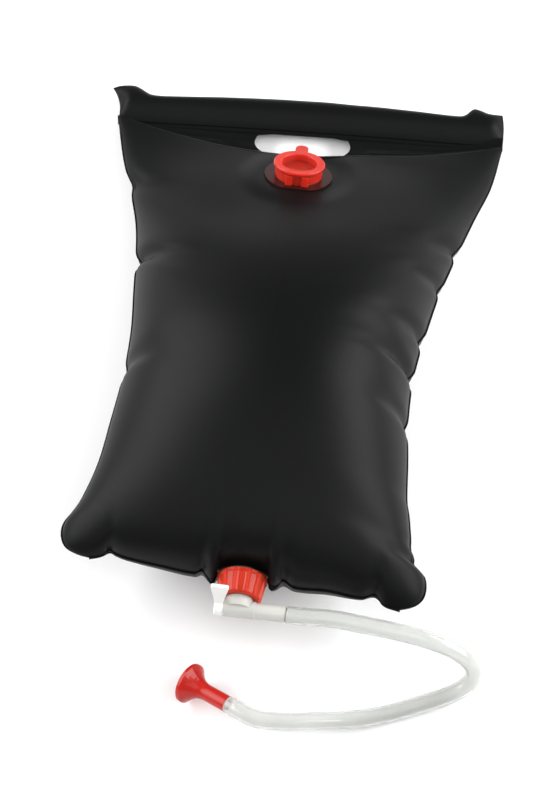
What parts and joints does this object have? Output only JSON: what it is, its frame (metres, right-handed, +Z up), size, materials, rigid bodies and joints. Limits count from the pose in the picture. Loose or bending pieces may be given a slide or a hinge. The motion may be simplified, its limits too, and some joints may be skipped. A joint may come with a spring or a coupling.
{
  "type": "camp shower bag",
  "caption": "Soft water bag with a handle sleeve and hand slot, a hinged filler cap, a ribbed outlet nut, a valve elbow, a hose and a shower rose.",
  "frame": {"origin": "on the floor, under the middle of the bag with its handle sleeve and its outlet elbow, hose and rose left out", "axes": "+X along the handle to the side the elbow's arm points to, +Y from the outlet to the handle, +Z up out of the front sheet that carries the filler"},
  "size_m": [0.4206, 0.7088, 0.1823],
  "materials": {
    "black_film": "satin black PVC film, softly creased",
    "grey_plastic": "plain moulded",
    "black_plastic": "plain moulded",
    "smoke_plastic": "thin, smoky and clear",
    "red_plastic": "moulded, slightly translucent",
    "orange_red_plastic": "moulded, ribbed",
    "black_rubber": "flat washer",
    "milky_plastic": "milky and translucent",
    "white_plastic": "opaque moulded",
    "clear_hose": "soft clear hose, milky with use",
    "red_clear_plastic": "glossy and translucent"
  },
  "bodies": {
    "bag": {"front_sheet": "black_film", "back_sheet": "black_film", "handle_sleeve": "black_film", "fill_flange": "smoke_plastic", "fill_neck": "red_plastic", "cap_strap_left": "red_plastic", "cap_strap_right": "red_plastic", "outlet_spout": "black_plastic"},
    "cap": {"fill_cap": "red_plastic"},
    "outlet": {"outlet_washer": "black_rubber", "elbow": "milky_plastic", "hose": "clear_hose", "rose_body": "red_clear_plastic", "rose_plate": "red_clear_plastic"},
    "nut": {"outlet_nut": "orange_red_plastic"},
    "lever": {"valve_lever": "white_plastic"},
    "tube": {"handle_tube": "grey_plastic"}
  },
  "joints": [
    {"name": "cap_hinge", "type": "hinge", "parent": "bag", "child": "cap", "pos_m": [0, 0.14744, 0.10401], "axis": [1, 0, 0], "range_deg": [0, 150]},
    {"name": "outlet_slide", "type": "slide", "parent": "bag", "child": "outlet", "axis": [0, -1, 0], "range_m": [0, 0.008]},
    {"name": "nut_turn", "type": "hinge", "parent": "outlet", "child": "nut", "pos_m": [0, -0.26903, 0.08], "axis": [0, -1, 0], "range_deg": [0, 720]},
    {"name": "lever_turn", "type": "hinge", "parent": "outlet", "child": "lever", "pos_m": [0, -0.30502, 0.08], "axis": [1, 0, 0], "range_deg": [0, 90]},
    {"name": "tube_slide", "type": "slide", "parent": "bag", "child": "tube", "axis": [1, 0, 0], "range_m": [-0.02, 0.02]}
  ],
  "couplings": [
    {"joint": "nut_turn", "follows": "outlet_slide", "rad_per_m": 1570.8}
  ]
}
